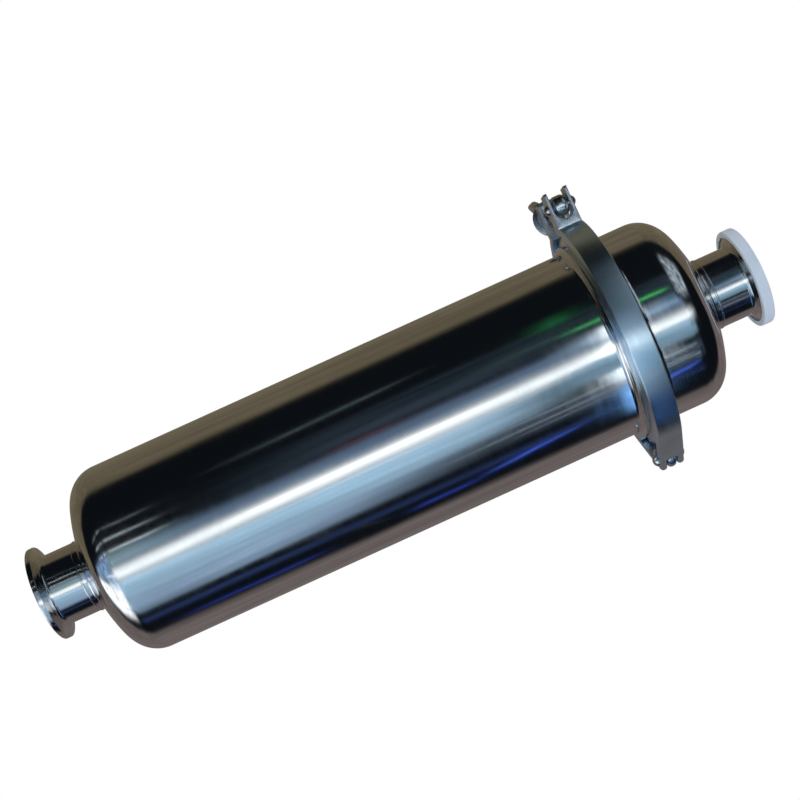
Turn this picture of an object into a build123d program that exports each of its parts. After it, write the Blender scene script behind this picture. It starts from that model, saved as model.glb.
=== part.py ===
from build123d import *
import math
import os

os.makedirs("parts", exist_ok=True)

# A straight pipe strainer of polished stainless steel, standing on the ferrule of its
# barrel. Z runs up the pipe, the hinge of the clamp lies at +X and its bolt at -X.
# All sizes are in millimetres.

# Overall
length = 400.0              # ferrule face to ferrule face
body_r = 50.8               # outer radius of the 4 inch tube
body_wall = 2.0
port_r = 19.05              # outer radius of the 1.5 inch ports
port_wall = 1.5

# Pressed ends
crown_r = 95.0              # outer radius of the shallow crown
knuckle_r = 22.0            # outer radius of the rounded corner
end_depth = 50.0            # port face to the start of the straight tube
collar_height = 2.8         # drawn collar that the port is welded to
collar_fillet = 1.8
weld_rise = 0.45            # polished weld bead standing above the port
cap_skirt = 5.0             # straight part of the cap's pressing

# Small ferrules
port_flange_r = 25.25
rim_height = 2.85           # height of the rim before the back starts to taper
taper_deg = 20.0
port_fillet = 3.0
port_groove_r = 21.75
port_bead_r = 1.35

# Large ferrules
clamp_z = 323.5             # middle of the clamped joint
flange_r = 59.5
ferrule_height = 20.6
hub_r = 54.2                # thick turned part beside the flange
hub_height = 7.2
hub_fillet = 2.4
groove_r = 55.6
bead_r = 1.5
gasket_gap = 1.8            # thickness of the body gasket between the faces
gasket_inset = 0.4          # gasket edge inside the flange edge

# Lipped gasket on the cap's port
lip_web = 1.9               # thickness across the ferrule face
lip_wrap = 1.55             # thickness round the rim
lip_back = 1.2              # thickness behind the rim
lip_reach = 1.5             # how far the back lip reaches inwards
lip_round = 0.7

# Strainer core
core_r = 38.0               # outer radius of the perforated tube
core_wall = 1.5
core_bottom_z = 62.0
ring_r = 51.9
ring_seat = 2.0             # depth of the seat in the barrel's ferrule
ring_play = 0.15
hole_r = 6.0
hole_rows = 9
holes_round = 6
hole_pitch = 25.0
first_hole_z = 92.0
bottom_plate = 2.0
sleeve_play = 0.05
sleeve_wall = 0.5
ridge_height = 0.35
ridge_width = 1.6
gaps_round = 12
gap_rows = 8
gap_height = 22.0
gap_pitch = 27.0
gap_width = 14.0
band_height = 8.0
band_wall = 1.0
sleeve_end = 10.0           # sleeve ends this far from the tube's ends
bail_rod_r = 2.0
bail_half = 42.0
bail_rise = 26.0
bail_corner = 14.0

# Clamp band
band_r = 67.5
band_width = 13.0
band_edge = 0.7
lip_r = 54.9                # inner edge of the groove's lips
groove_bottom_r = 60.6
split_gap = 1.5             # between the halves beside the hinge
seat_play = 0.12            # between the lips and the flange backs

# Forks for the bolt
pin_x = -72.5               # axis of the bolt's pin
pin_y = -16.5
fork_half = 5.0             # half the depth of a fork
fork_top_x = -81.4
fork_corner = 2.6
fork_fillet = 3.5
slot_width = 9.2
slot_bottom_x = -64.8
rear_fork_y = 11.5          # inner face of the rear fork
rear_face_y = 21.5          # bearing face of the rear fork, on the bolt's line

# Hinge
hinge_x = 68.0
knuckle_out = 6.0           # radius of the hinge knuckles
tongue_width = 5.0
tongue_play = 0.2
knuckle_play = 0.4
slot_relief = 1.0
flare = 14.0                # length of the flare from band to knuckle
hinge_pin_r = 2.5
hinge_head_r = 3.35
head_height = 2.3

# Swing bolt, washer and wing nut
bolt_pin_r = 2.2
bolt_head_r = 2.9
pin_play = 0.05
eye_r = 5.45
eye_width = 6.4
eye_round = 1.6
bolt_r = 4.0
bolt_length = 56.0          # pin axis to the end of the thread
bolt_tip = 0.9
thread_play = 0.06
washer_r = 8.0
washer_height = 1.6
washer_play = 0.3
nut_play = 0.08             # between the fork's round face, the washer and the nut
nut_base_r = 7.5
nut_top_r = 6.1
nut_height = 9.0
wing_reach = 16.4
wing_rise = 20.0
wing_thick = 3.4
wing_round = 1.3
wing_turn_deg = 62.0        # wings from the clamp's plane, measured from +X towards +Z

# Derived places
taper = math.tan(math.radians(taper_deg))
bore_r = body_r - body_wall
port_bore_r = port_r - port_wall
knuckle_in = body_r - knuckle_r
crown_rise = math.sqrt((crown_r - knuckle_r) ** 2 - knuckle_in ** 2)
root_z = end_depth + crown_rise - math.sqrt(crown_r ** 2 - port_r ** 2)
port_height = root_z - collar_height
barrel_face_z = clamp_z - gasket_gap / 2
cap_face_z = clamp_z + gasket_gap / 2
half_width = band_width / 2
bolt_reach = rear_face_y - pin_y
core_top_z = barrel_face_z
ring_z = barrel_face_z - ring_seat


def turned(edges):
    """Solid of revolution about the pipe axis from edges drawn as (radius, height)."""
    return revolve(Plane.XZ * make_face(edges), Axis.Z)


def ring(outer, inner, bottom, top):
    """Plain ring about the pipe axis."""
    profile = Rectangle(outer - inner, top - bottom, align=(Align.MIN, Align.MIN))
    return revolve(Plane.XZ * Pos(inner, bottom) * profile, Axis.Z)


def bead(radius, section_r, z):
    """Round bead about the pipe axis."""
    return Pos(0, 0, z) * Torus(radius, section_r)


def flipped(shape, z):
    """The same shape upside down, mirrored about a level plane."""
    return mirror(shape, Plane.XY.offset(z))


def port_ferrule():
    """Short port tube with its clamp flange, face at z = 0."""
    slope_z = rim_height + (port_flange_r - port_r) * taper
    edges = Polyline(
        (port_bore_r, 0), (port_flange_r, 0), (port_flange_r, rim_height),
        (port_r, slope_z), (port_r, port_height), (port_bore_r, port_height),
        close=True)
    body = turned(edges)
    root = body.edges().filter_by(GeomType.CIRCLE).filter_by(
        lambda e: abs(e.radius - port_r) < 0.01 and abs(e.center().Z - slope_z) < 0.01)
    body = fillet(root, port_fillet)
    rim = body.edges().filter_by(GeomType.CIRCLE).filter_by(
        lambda e: abs(e.radius - port_flange_r) < 0.01)
    body = fillet(rim, 0.35)
    weld = Pos(0, 0, port_height - 0.9) * Torus(port_r - 0.55, 0.55 + weld_rise)
    weld &= ring(port_r + 3, port_r - 0.2, 0, port_height)
    return body + weld - bead(port_groove_r, port_bead_r, 0)


def dish(wall, hole_r, corner):
    """Solid dished end with its collar, drawn in by a wall thickness."""
    knuckle = knuckle_r - wall
    crown = crown_r - wall
    centre_z = end_depth + crown_rise
    reach = crown_r - knuckle_r
    tangent = (crown * knuckle_in / reach, centre_z - crown * crown_rise / reach)
    turn = math.atan2(-crown_rise, knuckle_in) / 2
    knuckle_mid = (knuckle_in + knuckle * math.cos(turn), end_depth + knuckle * math.sin(turn))
    root = (hole_r, centre_z - math.sqrt(crown ** 2 - hole_r ** 2))
    half = (math.asin(knuckle_in / reach) + math.asin(hole_r / crown)) / 2
    crown_mid = (crown * math.sin(half), centre_z - crown * math.cos(half))
    profile = make_face([
        Line((0, end_depth), (body_r - wall, end_depth)),
        ThreePointArc((body_r - wall, end_depth), knuckle_mid, tangent),
        ThreePointArc(tangent, crown_mid, root),
        Line(root, (hole_r, port_height)),
        Line((hole_r, port_height), (0, port_height)),
        Line((0, port_height), (0, end_depth)),
    ])
    bend = [v for v in profile.vertices() if abs(v.X - root[0]) + abs(v.Y - root[1]) < 0.01]
    return revolve(Plane.XZ * fillet(bend, corner), Axis.Z)


def pressed_end(skirt):
    """Dished end with its drawn collar and a straight skirt above the full diameter."""
    outside = dish(0, port_r, collar_fillet)
    inside = dish(body_wall, port_bore_r, collar_fillet + port_wall)
    shell = outside - inside
    if skirt > 0:
        shell += ring(body_r, bore_r, end_depth, end_depth + skirt)
    return shell


def clamp_ferrule():
    """Large ferrule of the barrel, before its core seat is cut."""
    face = barrel_face_z
    foot = face - ferrule_height
    step = face - hub_height
    slope = face - rim_height - (flange_r - hub_r) * taper
    edges = [
        Line((bore_r, foot), (body_r, foot)),
        Line((body_r, foot), (body_r, step - hub_fillet)),
        ThreePointArc(
            (body_r, step - hub_fillet),
            (body_r + hub_fillet * (1 - math.sqrt(0.5)), step - hub_fillet * (1 - math.sqrt(0.5))),
            (body_r + hub_fillet, step)),
        Line((body_r + hub_fillet, step), (hub_r - 0.4, step)),
        Line((hub_r - 0.4, step), (hub_r, step + 0.4)),
        Line((hub_r, step + 0.4), (hub_r, slope)),
        Line((hub_r, slope), (flange_r, face - rim_height)),
        Line((flange_r, face - rim_height), (flange_r, face)),
        Line((flange_r, face), (bore_r, face)),
        Line((bore_r, face), (bore_r, foot)),
    ]
    return turned(edges) - bead(groove_r, bead_r, face)


def barrel_clamp_ferrule():
    seat = ring(ring_r + ring_play, 0.0, ring_z, barrel_face_z + 1)
    return clamp_ferrule() - seat


def body_gasket():
    """Flat ring with a bead on each face, between the two large ferrules."""
    flat = ring(flange_r - gasket_inset, bore_r, barrel_face_z, cap_face_z)
    flat += bead(groove_r, bead_r, barrel_face_z)
    return flat + bead(groove_r, bead_r, cap_face_z)


def lipped_gasket():
    """Gasket that snaps over the rim of the cap's port, drawn on a face at z = 0."""
    out = port_flange_r + lip_wrap
    back = rim_height + lip_back
    inner = port_flange_r - lip_reach
    slope_z = rim_height + lip_reach * taper
    body = turned(Polyline(
        (port_bore_r, -lip_web), (out, -lip_web), (out, back), (inner, back),
        (inner, slope_z), (port_flange_r, rim_height), (port_flange_r, 0), (port_bore_r, 0),
        close=True))
    corners = body.edges().filter_by(GeomType.CIRCLE).filter_by(
        lambda e: abs(e.radius - out) < 0.01)
    body = fillet(corners, lip_round)
    return body + bead(port_groove_r, port_bead_r, 0)


def core_tube():
    """Perforated tube, its holes staggered from row to row."""
    tube = ring(core_r, core_r - core_wall, core_bottom_z, core_top_z)
    drills = []
    for row in range(hole_rows):
        for k in range(holes_round):
            turn = 360.0 / holes_round * (k + 0.5 * (row % 2))
            z = first_hole_z + row * hole_pitch
            drills.append(Pos(0, 0, z) * Rot(0, 0, turn) * Pos(core_r, 0, 0)
                          * Rot(0, 90, 0) * Cylinder(hole_r, core_wall * 6))
    return tube - drills


def core_ring():
    """Flat ring that hangs the core in the joint."""
    body = ring(ring_r, core_r, ring_z, core_top_z)
    return body


def core_bottom():
    """Plate that closes the bottom of the core."""
    plate = ring(core_r, 0.0, core_bottom_z - bottom_plate, core_bottom_z)
    rim = plate.edges().filter_by(GeomType.CIRCLE).sort_by(Axis.Z)[0]
    return fillet(rim, 1.2)


def mesh_sleeve():
    """Mesh sleeve drawn over the core: ridges along it, gaps between them."""
    inner = core_r + sleeve_play
    outer = inner + sleeve_wall
    bottom = core_bottom_z + sleeve_end
    top = ring_z - sleeve_end
    sleeve = ring(outer, inner, bottom, top)
    middle = (bottom + top) / 2
    ridges = []
    for k in range(gaps_round):
        turn = 360.0 / gaps_round * k
        ridges.append(Pos(0, 0, middle) * Rot(0, 0, turn)
                      * Pos(outer + ridge_height / 2 - 0.1, 0, 0)
                      * Box(ridge_height + 0.2, ridge_width, top - bottom - 2 * band_height - 4))
    cuts = []
    first = middle - gap_pitch * (gap_rows - 1) / 2
    for row in range(gap_rows):
        for k in range(gaps_round):
            turn = 360.0 / gaps_round * (k + 0.5)
            cuts.append(Pos(0, 0, first + row * gap_pitch) * Rot(0, 0, turn)
                        * Pos(outer, 0, 0) * Box(6, gap_width, gap_height))
    return sleeve + ridges - cuts


def mesh_band(bottom):
    """Band that holds one end of the sleeve."""
    inner = core_r + sleeve_play + sleeve_wall + 0.05
    body = ring(inner + band_wall, inner, bottom, bottom + band_height)
    return body


def core_bail():
    """Wire handle standing on the core's ring, inside the cap."""
    top = core_top_z + bail_rise
    path = FilletPolyline(
        (-bail_half, 0, core_top_z), (-bail_half, 0, top),
        (bail_half, 0, top), (bail_half, 0, core_top_z), radius=bail_corner)
    section = Plane(origin=(-bail_half, 0, core_top_z), z_dir=(0, 0, 1)) * Circle(bail_rod_r)
    return sweep(section, path=path)


def band_ring():
    """Full ring with the clamp's section: lips that taper with the flange backs."""
    rim_half = gasket_gap / 2 + rim_height + seat_play
    lip_half = rim_half + (flange_r - lip_r) * taper
    deep_half = rim_half - (groove_bottom_r - flange_r) * taper
    outline = Polyline(
        (lip_r, -lip_half), (lip_r + 0.5, -half_width + 0.3), (lip_r + 2.6, -half_width),
        (band_r - band_edge, -half_width), (band_r, -half_width + band_edge),
        (band_r, half_width - band_edge), (band_r - band_edge, half_width),
        (lip_r + 2.6, half_width), (lip_r + 0.5, half_width - 0.3), (lip_r, lip_half),
        (groove_bottom_r, deep_half), (groove_bottom_r, -deep_half), close=True)
    return Pos(0, 0, clamp_z) * turned(outline)


def hinge_rod(radius, width):
    """Cylinder on the hinge axis, centred in the clamp's width."""
    return Pos(hinge_x, 0, clamp_z) * Cylinder(radius, width)


def clamp_slab(x0, x1, y0, y1, width):
    """Block across the clamp between two x and two y places."""
    return Pos((x0 + x1) / 2, (y0 + y1) / 2, clamp_z) * Box(x1 - x0, y1 - y0, width)


def flare_block(side):
    """Wedge that carries the band out to the knuckle, side -1 at the front."""
    edge_x = math.sqrt(band_r ** 2 - flare ** 2) - 0.3
    flat = Polyline(
        (groove_bottom_r + 1.5, 0), (hinge_x + knuckle_out, 0),
        (hinge_x + knuckle_out - 0.15, 1.2 * side), (edge_x, flare * side),
        (groove_bottom_r + 0.3, flare * side), close=True)
    block = extrude(make_face(flat), half_width, both=True)
    return Pos(0, 0, clamp_z) * block


def fork(y0, y1):
    """Lug with its two ears, between two y places; the slot is open outwards."""
    block = clamp_slab(fork_top_x, -55.0, y0, y1, band_width)
    top = block.edges().filter_by(Axis.Z).sort_by(Axis.X)[:2]
    block = fillet(top, fork_corner)
    return block - Pos(0, 0, clamp_z) * Cylinder(groove_bottom_r + 1.2, band_width + 2)


def fork_slot(y0, y1):
    """Round-bottomed slot that the swing bolt lies in."""
    radius = slot_width / 2
    middle_x = slot_bottom_x - radius
    depth = y1 - y0 + 2
    place = Pos(0, (y0 + y1) / 2, clamp_z)
    slot = place * Pos(middle_x, 0, 0) * Rot(90, 0, 0) * Cylinder(radius, depth)
    reach = middle_x - fork_top_x + 4
    return slot + place * Pos(middle_x - reach / 2, 0, 0) * Box(reach, depth, slot_width)


def clamp_front_half():
    """Half that carries the swing bolt; its hinge end is a fork of two ears."""
    y0 = pin_y - fork_half
    y1 = pin_y + fork_half
    keep = clamp_slab(0, 90, -90, -split_gap / 2, 40) + clamp_slab(-90, 0, -90, y1, 40)
    half = (band_ring() & keep) + fork(y0, y1)
    root_x = -math.sqrt(band_r ** 2 - y0 ** 2)
    root = half.edges().filter_by(Axis.Z).filter_by(
        lambda e: abs(e.center().X - root_x) < 0.6 and abs(e.center().Y - y0) < 0.3)
    half = fillet(root, fork_fillet)
    half += flare_block(-1)
    half += hinge_rod(knuckle_out, band_width)
    half -= clamp_slab(0, 90, -split_gap / 2, 40, 40) - hinge_rod(knuckle_out, 60)
    half -= Pos(0, 0, clamp_z) * Cylinder(flange_r + 1.1, 2 * rim_height)
    half -= hinge_rod(knuckle_out + slot_relief, tongue_width + 2 * tongue_play)
    half -= hinge_rod(hinge_pin_r, 40)
    half -= Pos(pin_x, pin_y, clamp_z) * Cylinder(bolt_pin_r, 40)
    return half - fork_slot(y0, y1)


def clamp_rear_half():
    """Half that the wing nut bears on; its hinge end is a single tongue."""
    y0 = rear_fork_y
    keep = clamp_slab(0, 90, split_gap / 2, 90, 40) + clamp_slab(-90, 0, y0, 90, 40)
    half = (band_ring() & keep) + (fork(y0, rear_face_y + 1) & bearing_body())
    half += flare_block(1)
    ears = band_width / 2 - tongue_width / 2
    for side in (-1, 1):
        z = clamp_z + side * (tongue_width + ears) / 2
        half -= Pos(hinge_x, 0, z) * Cylinder(knuckle_out + knuckle_play, ears)
    half += hinge_rod(knuckle_out, tongue_width)
    half -= Pos(0, 0, clamp_z) * Cylinder(flange_r + 1.1, 2 * rim_height)
    half -= hinge_rod(hinge_pin_r + pin_play, 40)
    return half - fork_slot(y0, rear_face_y)


def bearing_body():
    """Cylinder about the bolt's pin: the nut swings off the fork's round face."""
    return Pos(pin_x, pin_y, clamp_z) * Cylinder(bolt_reach, 60)


def rivet(x, y, shank_r, head_r):
    """Pin with a domed head at each end, across the clamp."""
    rise = head_height
    dome_r = (head_r ** 2 + rise ** 2) / (2 * rise)
    top = half_width + rise
    mid = (dome_r * math.sin(math.asin(head_r / dome_r) / 2),
           top - dome_r + dome_r * math.cos(math.asin(head_r / dome_r) / 2))
    upper = [
        Line((0, 0), (shank_r, 0)),
        Line((shank_r, 0), (shank_r, half_width)),
        Line((shank_r, half_width), (head_r, half_width)),
        ThreePointArc((head_r, half_width), mid, (0, top)),
        Line((0, top), (0, 0)),
    ]
    solid = turned(upper)
    return Pos(x, y, clamp_z) * (solid + mirror(solid, Plane.XY))


def swing_bolt():
    """Eye bolt on the front fork's pin, its shank lying towards the rear fork."""
    eye = Cylinder(eye_r, eye_width)
    eye = fillet(eye.edges().filter_by(GeomType.CIRCLE), eye_round)
    shank = Rot(-90, 0, 0) * Cylinder(bolt_r, bolt_length, align=(Align.CENTER, Align.CENTER, Align.MIN))
    tip = shank.edges().filter_by(GeomType.CIRCLE).sort_by(Axis.Y)[-1]
    shank = chamfer(tip, bolt_tip)
    shank -= Box(30, 2 * (eye_r - 2.2), 30)
    body = eye + shank - Cylinder(bolt_pin_r + pin_play, 40)
    return Pos(pin_x, pin_y, clamp_z) * body


def on_bolt(shape):
    """Carry a shape drawn up +Z to the bearing face, along the bolt."""
    return Pos(pin_x, rear_face_y, clamp_z) * Rot(-90, 0, 0) * shape


def nut_washer():
    body = Cylinder(washer_r, washer_height, align=(Align.CENTER, Align.CENTER, Align.MIN))
    body = chamfer(body.edges().filter_by(GeomType.CIRCLE), 0.2)
    return on_bolt(Pos(0, 0, nut_play) * (body - Cylinder(bolt_r + washer_play, 20)))


def wing_nut():
    """Cast nut with two wings that flare away from the clamp."""
    hub = revolve(Plane.XZ * make_face(Polyline(
        (0, 0), (nut_base_r, 0), (nut_base_r, 1.6), (nut_top_r, nut_height), (0, nut_height),
        close=True)), Axis.Z)
    lower = Spline((nut_base_r - 2.5, 1.2), (nut_base_r + 2.6, 5.4), (wing_reach - 0.9, 14.0),
                   (wing_reach, 16.8))
    crest = Spline((wing_reach, 16.8), (wing_reach - 1.4, 19.3), (wing_reach - 3.9, wing_rise),
                   (wing_reach - 6.6, 17.8))
    inner = Spline((wing_reach - 6.6, 17.8), (nut_top_r + 1.2, 11.6), (nut_top_r - 2.0, nut_height - 1.0))
    close_in = Line((nut_top_r - 2.0, nut_height - 1.0), (nut_base_r - 2.5, 1.2))
    flat = make_face([lower, crest, inner, close_in])
    wing = extrude(Plane.XZ * flat, wing_thick / 2, both=True)
    rim = wing.edges().filter_by(lambda e: abs(abs(e.center().Y) - wing_thick / 2) < 0.01
                                 and e.center().X > nut_base_r)
    wing = fillet(rim, wing_round)
    body = hub + wing + Rot(0, 0, 180) * wing
    body -= Cylinder(bolt_r + thread_play, 60)
    return on_bolt(Pos(0, 0, washer_height + 2 * nut_play) * Rot(0, 0, wing_turn_deg) * body)


nodes = {
    "inlet_ferrule": port_ferrule(),
    "barrel_end": pressed_end(0),
    "barrel_tube": ring(body_r, bore_r, end_depth, barrel_face_z - ferrule_height),
    "barrel_clamp_ferrule": barrel_clamp_ferrule(),
    "cap_clamp_ferrule": flipped(clamp_ferrule(), clamp_z),
    "cap_end": flipped(pressed_end(
        length - end_depth - (2 * clamp_z - barrel_face_z + ferrule_height)), length / 2),
    "outlet_ferrule": flipped(port_ferrule(), length / 2),
    "body_gasket": body_gasket(),
    "outlet_gasket": flipped(lipped_gasket(), length / 2),
    "core_ring": core_ring(),
    "core_tube": core_tube(),
    "core_bottom": core_bottom(),
    "mesh_sleeve": mesh_sleeve(),
    "upper_mesh_band": mesh_band(ring_z - sleeve_end - band_height),
    "lower_mesh_band": mesh_band(core_bottom_z + sleeve_end),
    "core_bail": core_bail(),
    "clamp_front_half": clamp_front_half(),
    "clamp_rear_half": clamp_rear_half(),
    "hinge_pin": rivet(hinge_x, 0, hinge_pin_r, hinge_head_r),
    "bolt_pin": rivet(pin_x, pin_y, bolt_pin_r, bolt_head_r),
    "swing_bolt": swing_bolt(),
    "nut_washer": nut_washer(),
    "wing_nut": wing_nut(),
}

for name, shape in nodes.items():
    solids = shape.solids()
    body = solids[0] if len(solids) == 1 else Compound(solids)
    export_step(body, "parts/" + name + ".step")
    box = body.bounding_box()
    print(name, len(solids), "solid", round(body.volume / 1000, 2), "cm3",
          [round(v, 2) for v in (*box.min, *box.max)])
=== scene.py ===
import math

import bmesh
import bpy
import numpy as np
from bpy.props import FloatProperty, FloatVectorProperty, PointerProperty
from mathutils import Matrix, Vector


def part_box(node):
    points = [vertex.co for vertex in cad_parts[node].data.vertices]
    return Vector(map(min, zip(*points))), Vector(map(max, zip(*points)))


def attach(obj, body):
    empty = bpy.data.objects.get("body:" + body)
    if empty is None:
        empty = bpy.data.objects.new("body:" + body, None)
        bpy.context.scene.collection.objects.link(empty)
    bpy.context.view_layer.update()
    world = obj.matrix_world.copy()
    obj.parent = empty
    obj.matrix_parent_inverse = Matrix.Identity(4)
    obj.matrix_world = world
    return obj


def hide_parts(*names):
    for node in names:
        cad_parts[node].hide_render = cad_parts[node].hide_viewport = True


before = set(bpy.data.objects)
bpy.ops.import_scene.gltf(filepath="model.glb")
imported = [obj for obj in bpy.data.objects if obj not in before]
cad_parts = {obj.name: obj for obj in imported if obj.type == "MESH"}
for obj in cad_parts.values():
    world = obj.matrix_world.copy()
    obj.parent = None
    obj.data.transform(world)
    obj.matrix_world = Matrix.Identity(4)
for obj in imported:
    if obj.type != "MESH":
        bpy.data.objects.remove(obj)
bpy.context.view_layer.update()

bl_info = {
    "name": "Pipe Strainer Dressing",
    "version": (1, 0, 0),
    "blender": (4, 5, 0),
    "location": "View3D > Sidebar > Strainer",
    "description": "Pressed ends, clamp, fasteners, finishes and studio of a pipe strainer",
    "category": "Object",
}

# Places, in metres

CLAMP_Z = 0.3235            # middle of the clamped joint
PIN_X = -0.0725             # axis of the bolt's pin
PIN_Y = -0.0165
BOLT_END = 0.0560           # pin axis to the end of the thread
THREAD_START = 0.0130
PITCH = 0.00125
THREAD_RUN_IN = 0.0012      # lengths over which the ridge rises and falls
THREAD_RUN_OUT = 0.0009
THREAD_STOP = BOLT_END - 0.0004
THREAD_LAST = BOLT_END - 0.0002
MIDDLE_Z = 0.200            # middle height, which the cards are set round

# The camera's side step in metres and its turns in radians

CAMERA_X = 0.00171
CAMERA_PAN = 0.02358
CAMERA_TILT = 0.01184

# Sizes of the strainer's steel, in metres

LENGTH = 0.400              # inlet face to outlet face
TUBE_R = 0.0508
WALL = 0.0020
PORT_R = 0.01905
PORT_WALL = 0.0015
CROWN_R = 0.105             # shallow crown of a pressed end
KNUCKLE_R = 0.0170          # its rounded corner
END_DEPTH = 0.0488          # port's face to the straight tube
COLLAR_HEIGHT = 0.0028
COLLAR_FILLET = 0.0018
TAPER_DEG = 20.0
TAPER = math.tan(math.radians(TAPER_DEG))
PORT_FLANGE_R = 0.02525
RIM_HEIGHT = 0.00285
RIM_ROUND = 0.00035
PORT_FILLET = 0.0030
PORT_GROOVE_R = 0.02175
PORT_BEAD_R = 0.00135
WELD_RISE = 0.00045
WELD_SINK = 0.0009
NECK_Z = (END_DEPTH + math.sqrt((CROWN_R - KNUCKLE_R) ** 2 - (TUBE_R - KNUCKLE_R) ** 2)
          - math.sqrt(CROWN_R ** 2 - PORT_R ** 2) - COLLAR_HEIGHT)

FLANGE_R = 0.0595
GASKET_GAP = 0.0018
SEAT_PLAY = 0.00012
HALF_WIDTH = 0.0065
BAND_R = 0.0650
BAND_WALL = 0.0044
BAND_EDGE = 0.0007
GROOVE_R = BAND_R - BAND_WALL
LIP_R = 0.0549
LIP_NOSE = 0.0005
LIP_SLOPE = 0.0026
LIP_STEP = 0.0004           # turn over which the lips end, in radians
LIP_END_BOLT = 0.024        # lips stop this far from the clamp's middle plane
LIP_END_EARS = 0.008
LIP_END_TONGUE = 0.019
RIM_HALF = 0.5 * GASKET_GAP + RIM_HEIGHT + SEAT_PLAY
LIP_HALF = RIM_HALF + (FLANGE_R - LIP_R) * TAPER
HINGE_X = 0.0680
KNUCKLE_OUT = 0.0060
KNUCKLE_WRAP_DEG = 250.0
TONGUE_HALF = 0.0025
EAR_INSIDE = 0.0030
SLOT_RELIEF = 0.0022
HINGE_LEAN = math.acos((BAND_R - KNUCKLE_OUT) / HINGE_X)
LEG_LENGTH = math.sqrt(HINGE_X ** 2 - (BAND_R - KNUCKLE_OUT) ** 2)
LEG_X = BAND_R * math.cos(HINGE_LEAN)

FRONT_FORK_HALF = 0.0060
REAR_FORK_Y = 0.0115
BOLT_REACH = 0.0380         # pin axis to the rear fork's bearing face
FORK_TIP = 0.0089
FORK_CORNER = 0.0026
FORK_EDGE = 0.0005
FORK_SIDE = HALF_WIDTH - 0.00005
FORK_FOOT_X = -0.0605
SLOT_WIDTH = 0.0092
SLOT_DROP = 0.0077
EYE_R = 0.0055
EYE_PLAY = 0.0005
EYE_ROUND = 0.0028

NUT_Y = PIN_Y + BOLT_REACH + 0.00176    # base of the nut, outside the washer
NUT_BASE_R = 0.0100
NUT_BASE = 0.0015
NUT_WAIST_R = 0.0069
NUT_TOP_R = 0.0060
NUT_HEIGHT = 0.0094
NUT_CROWN = 0.0009
NUT_BORE_R = 0.00406
WING_REACH = 0.0141
WING_RISE = 0.0200
WING_THICK = 0.0046
WING_TURN_DEG = -22.0       # upper wing from -X towards the barrel

MERGE_DISTANCE = 2e-7
CREASE_DEG = 32.0
CORNER_STEPS = 5

# The stage, in metres

CARD_RADIUS = 1.50
CARD_STEP = 0.008           # each card is this much nearer than the last
CARD_GRID = 25
FLOOR_R = 4.0
FLOOR_DROP = 0.0002
FLOOR_RINGS = 30
FLOOR_SPOKES = 96


# Node helpers

def feed(tree, node, values):
    """Link sockets, or write plain values, into a node's inputs by name or number."""
    for key, value in values.items():
        if isinstance(value, bpy.types.NodeSocket):
            tree.links.new(value, node.inputs[key])
        else:
            node.inputs[key].default_value = value


def add_node(tree, kind, place, values=None, **settings):
    """Make one node at a place, set its plain properties and feed its inputs."""
    made = tree.nodes.new(kind)
    made.location = place
    for key, value in settings.items():
        setattr(made, key, value)
    feed(tree, made, values or {})
    return made


def maths(tree, operation, place, a, b=0.0, c=0.0):
    """One sum on sockets or plain values."""
    return add_node(tree, "ShaderNodeMath", place, {0: a, 1: b, 2: c}, operation=operation).outputs[0]


def spread(tree, place, value, low, high, new_low, new_high, smooth=False):
    """Map one range onto another, held at both ends."""
    made = add_node(tree, "ShaderNodeMapRange", place,
                    {0: value, 1: low, 2: high, 3: new_low, 4: new_high}, clamp=True)
    if smooth:
        made.interpolation_type = "SMOOTHSTEP"
    return made.outputs[0]


def mix_colour(tree, place, factor, first, second):
    """The first colour where the factor is 0 and the second where it is 1."""
    made = add_node(tree, "ShaderNodeMix", place, data_type="RGBA")
    feed(tree, made, {0: factor, 6: first, 7: second})
    return made.outputs[2]


def stretched_noise(tree, place, vector, stretch, scale, detail, roughness=0.5):
    """Noise on coordinates that are scaled by their own factor on each axis."""
    mapping = add_node(tree, "ShaderNodeMapping", place, {"Vector": vector, "Scale": stretch})
    noise = add_node(tree, "ShaderNodeTexNoise", (place[0] + 200, place[1]),
                     {"Vector": mapping.outputs[0], "Scale": scale, "Detail": detail,
                      "Roughness": roughness})
    return noise.outputs["Fac"]


def new_group(name, inputs, outputs):
    """Shader group with float or vector sockets given as (name, kind, default)."""
    tree = bpy.data.node_groups.new(name, "ShaderNodeTree")
    for label, kind, default in inputs:
        socket = tree.interface.new_socket(name=label, in_out="INPUT", socket_type=kind)
        if default is not None:
            socket.default_value = default
    for label, kind in outputs:
        tree.interface.new_socket(name=label, in_out="OUTPUT", socket_type=kind)
    return (tree, tree.nodes.new("NodeGroupInput"), tree.nodes.new("NodeGroupOutput"))


FLOAT = "NodeSocketFloat"
VECTOR = "NodeSocketVector"


# Shared effects

def sheet_waves_group():
    """Slow dents left in rolled and pressed sheet, longer along the pipe than round it."""
    tree, enter, leave = new_group(
        "Sheet Waves",
        [("Object Place", VECTOR, None), ("Scale", FLOAT, 14.0), ("Depth", FLOAT, 1.0)],
        [("Height", FLOAT)])
    place, scale, depth = enter.outputs[:3]
    slow = stretched_noise(tree, (-600, 100), place, (1.0, 1.0, 0.35), scale, 1.0)
    closer = maths(tree, "MULTIPLY", (-400, -120), scale, 3.1)
    fine = stretched_noise(tree, (-600, -200), place, (1.0, 1.0, 0.5), closer, 1.0)
    part = maths(tree, "MULTIPLY", (-100, -120), fine, 0.25)
    total = maths(tree, "ADD", (60, 0), slow, part)
    feed(tree, leave, {0: maths(tree, "MULTIPLY", (220, 0), total, depth)})
    return tree


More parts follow.
